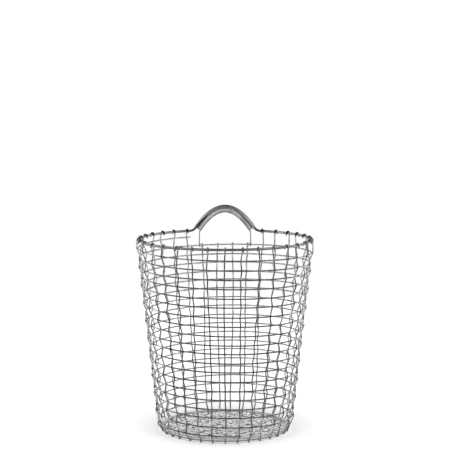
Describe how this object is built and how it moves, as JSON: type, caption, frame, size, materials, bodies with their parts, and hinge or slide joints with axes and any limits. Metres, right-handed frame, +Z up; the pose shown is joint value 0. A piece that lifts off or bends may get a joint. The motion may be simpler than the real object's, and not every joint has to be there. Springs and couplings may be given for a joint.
{
  "type": "wire basket",
  "caption": "Round tapered basket woven from galvanized steel wire, with a hooked rim, a square-mesh floor and one sleeved carrying handle.",
  "frame": {"origin": "middle of the circle of feet, on the surface that the basket stands on", "axes": "+Z up, +Y towards the handle at the back, -Y the front, +X to the right seen from the front"},
  "size_m": [0.3024, 0.3021, 0.3742],
  "materials": {
    "rim": "hot-dip zinc, dull grey, slightly uneven",
    "weave": "zinc-coated drawn wire, soft sheen with fine streaks along the wire",
    "grip": "rolled galvanized sheet, streaked along its length",
    "floor": "zinc-coated wire mesh, dull grey"
  },
  "bodies": {
    "root": {"rim_wire": "rim", "handle_grip": "grip", "handle_stay_left": "weave", "handle_stay_right": "weave", "upright_01": "weave", "upright_02": "weave", "upright_03": "weave", "upright_04": "weave", "upright_05": "weave", "upright_06": "weave", "upright_07": "weave", "upright_08": "weave", "upright_09": "weave", "upright_10": "weave", "upright_11": "weave", "upright_12": "weave", "upright_13": "weave", "upright_14": "weave", "upright_15": "weave", "upright_16": "weave", "upright_17": "weave", "upright_18": "weave", "upright_19": "weave", "upright_20": "weave", "upright_21": "weave", "upright_22": "weave", "upright_23": "weave", "upright_24": "weave", "upright_25": "weave", "upright_26": "weave", "upright_27": "weave", "upright_28": "weave", "upright_29": "weave", "upright_30": "weave", "upright_31": "weave", "upright_32": "weave", "upright_33": "weave", "weaving_spiral": "weave", "foot_ring": "rim", "floor_mesh": "floor"}
  },
  "joints": []
}
